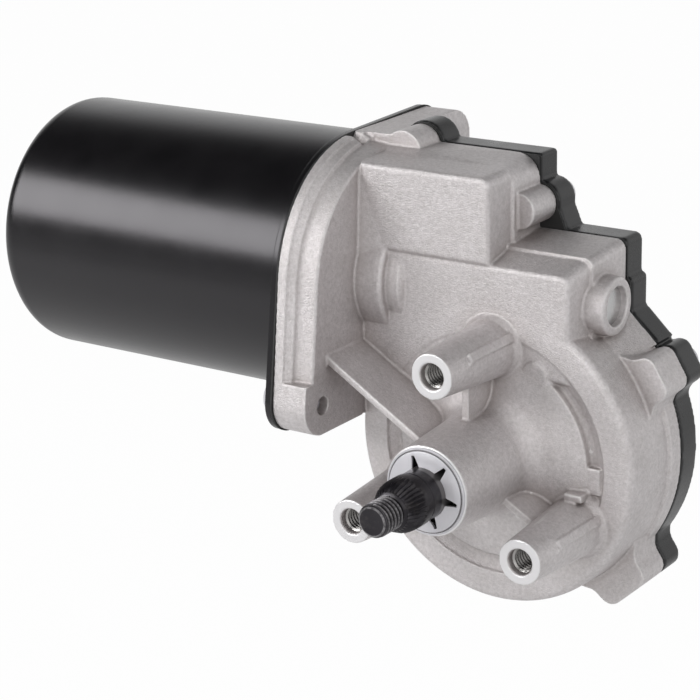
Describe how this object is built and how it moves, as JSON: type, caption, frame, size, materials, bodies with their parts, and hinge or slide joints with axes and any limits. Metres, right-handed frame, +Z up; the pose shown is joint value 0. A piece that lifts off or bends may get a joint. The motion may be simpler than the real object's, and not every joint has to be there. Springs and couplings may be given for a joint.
{
  "type": "wiper motor",
  "caption": "Vehicle wiper motor: a permanent-magnet motor turns a threaded output shaft through a worm and worm wheel in a die-cast gear housing.",
  "frame": {"origin": "on the output shaft's axis, in the plane of the faces of the three mounting bosses", "axes": "-Y out of the mounting face along the output shaft, +X along the motor axis towards the worm, +Z up"},
  "size_m": [0.1815, 0.0988, 0.1105],
  "materials": {
    "die_cast": "shot-blasted die casting",
    "black_plastic": "moulded",
    "can_paint": "satin black",
    "gasket": "pressed",
    "zinc_steel": "zinc plated",
    "dark_steel": "black phosphate",
    "bright_steel": "ground",
    "spring_steel": "plain",
    "lamination": "stacked sheet",
    "ferrite": "sintered",
    "bronze": "sintered, oiled",
    "copper": "drawn",
    "brass_sheet": "stamped",
    "tinned": "tin plated",
    "carbon": "pressed carbon",
    "card": "moulded phenolic",
    "cage_nylon": "moulded nylon",
    "wheel_nylon": "moulded acetal",
    "suppressor_case": "dipped"
  },
  "bodies": {
    "housing": {"gear_housing": "die_cast", "gear_cover": "black_plastic", "cover_gasket": "gasket", "cover_screws": "zinc_steel", "connector_terminals": "tinned", "park_contacts": "brass_sheet", "motor_can": "can_paint", "can_gasket": "gasket", "can_screws": "zinc_steel", "field_magnets": "ferrite", "magnet_clips": "spring_steel", "rear_bush": "bronze", "bush_retainer": "spring_steel", "bearing_outer_ring": "bright_steel", "bearing_retainer": "zinc_steel", "tip_bush": "bronze", "thrust_plug": "bright_steel", "brush_card": "card", "brush_holders": "brass_sheet", "brushes": "carbon", "brush_springs": "spring_steel", "choke_coils": "copper", "choke_cores": "ferrite", "suppressor": "suppressor_case", "motor_leads": "brass_sheet", "shaft_bushes": "bronze", "shaft_seal": "gasket", "thrust_washer": "bright_steel"},
    "armature": {"armature_shaft": "bright_steel", "armature_core": "lamination", "armature_windings": "copper", "commutator_hub": "card", "commutator_bars": "copper", "bearing_inner_ring": "bright_steel", "thrust_ball": "bright_steel"},
    "ball_set": {"bearing_balls": "bright_steel", "bearing_cage": "cage_nylon"},
    "output": {"output_shaft": "dark_steel", "star_washer": "spring_steel", "wheel_hub": "zinc_steel", "worm_wheel": "wheel_nylon", "contact_disc": "brass_sheet"}
  },
  "joints": [
    {"name": "armature_spin", "type": "hinge", "parent": "housing", "child": "armature", "pos_m": [0, 0.0375, 0.037], "axis": [1, 0, 0], "continuous": true},
    {"name": "ball_orbit", "type": "hinge", "parent": "housing", "child": "ball_set", "pos_m": [0, 0.0375, 0.037], "axis": [1, 0, 0], "continuous": true},
    {"name": "output_spin", "type": "hinge", "parent": "housing", "child": "output", "pos_m": [0, 0, 0], "axis": [0, -1, 0], "continuous": true}
  ],
  "couplings": [
    {"joint": "ball_orbit", "follows": "armature_spin", "ratio": 0.37},
    {"joint": "output_spin", "follows": "armature_spin", "ratio": 0.019231}
  ]
}
